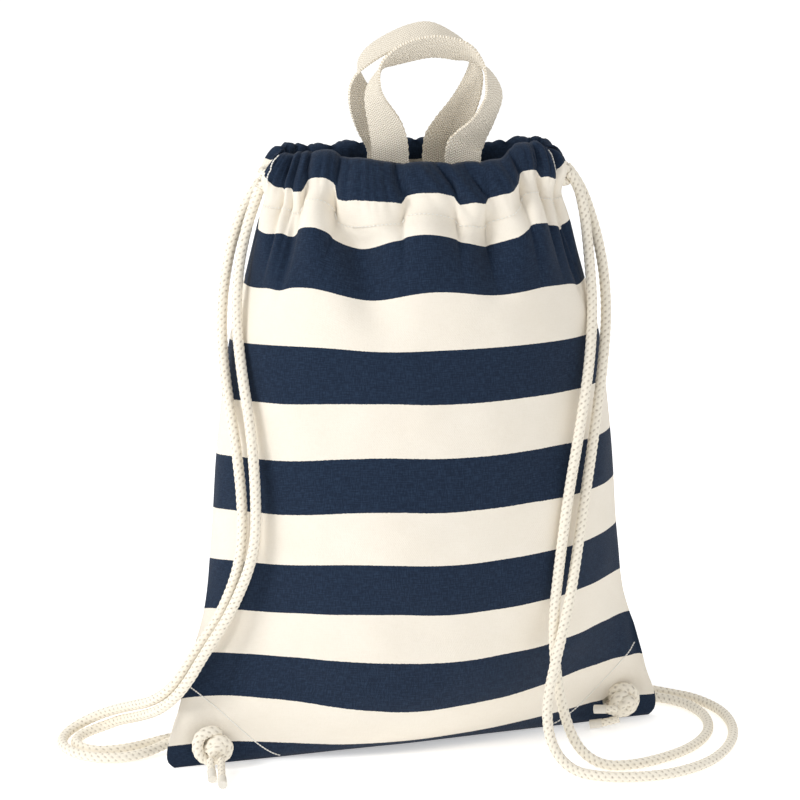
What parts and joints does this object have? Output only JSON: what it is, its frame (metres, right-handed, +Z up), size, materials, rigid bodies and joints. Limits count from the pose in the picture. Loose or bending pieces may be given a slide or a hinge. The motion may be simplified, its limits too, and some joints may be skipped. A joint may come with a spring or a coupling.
{
  "type": "drawstring sack",
  "caption": "Striped canvas sack with a gathered drawstring mouth, webbing grab loops and braided shoulder cords knotted at the bottom corners.",
  "frame": {"origin": "on the floor, under the middle of the body's bounding box (free cords left out)", "axes": "+Z up from the bottom seam to the handle loops, -Y towards the front panel, X across the mouth"},
  "size_m": [0.4897, 0.1726, 0.5178],
  "materials": {
    "striped_canvas": "matt woven cotton canvas with navy stripes",
    "navy_canvas": "matt woven cotton canvas",
    "cotton_webbing": "matt herringbone webbing",
    "cotton_cord": "matt braided cotton",
    "thread": "matt sewing thread",
    "eyelet_metal": "satin nickelled brass, assumed",
    "sealed_tip": "milky sealed cord end"
  },
  "bodies": {
    "sack": {"back_handle_tabs": "cotton_webbing", "back_hem": "navy_canvas", "back_hem_stitching": "thread", "back_panel": "striped_canvas", "front_handle_tabs": "cotton_webbing", "front_hem": "navy_canvas", "front_hem_stitching": "thread", "front_panel": "striped_canvas", "left_cord_back_strand": "cotton_cord", "left_cord_front_strand": "cotton_cord", "left_cord_tunnel_run": "cotton_cord", "left_corner_patch": "striped_canvas", "left_corner_stitching": "thread", "left_eyelet": "eyelet_metal", "left_eyelet_washer": "eyelet_metal", "left_knot": "cotton_cord", "left_tail_1": "cotton_cord", "left_tail_1_tip": "sealed_tip", "left_tail_2": "cotton_cord", "left_tail_2_tip": "sealed_tip", "right_cord_back_strand": "cotton_cord", "right_cord_front_strand": "cotton_cord", "right_cord_tunnel_run": "cotton_cord", "right_corner_patch": "striped_canvas", "right_corner_stitching": "thread", "right_eyelet": "eyelet_metal", "right_eyelet_washer": "eyelet_metal", "right_knot": "cotton_cord", "right_tail_1": "cotton_cord", "right_tail_1_tip": "sealed_tip", "right_tail_2": "cotton_cord", "right_tail_2_tip": "sealed_tip", "tunnel_end_stitching": "thread"},
    "front_loop": {"front_handle": "cotton_webbing"},
    "back_loop": {"back_handle": "cotton_webbing"}
  },
  "joints": [
    {"name": "front_handle_fold", "type": "hinge", "parent": "sack", "child": "front_loop", "pos_m": [0.008, -0.0015, 0.431], "axis": [1, 0, 0], "range_deg": [0, 75]},
    {"name": "back_handle_fold", "type": "hinge", "parent": "sack", "child": "back_loop", "pos_m": [0, 0.0215, 0.431], "axis": [-1, 0, 0], "range_deg": [0, 75]}
  ]
}
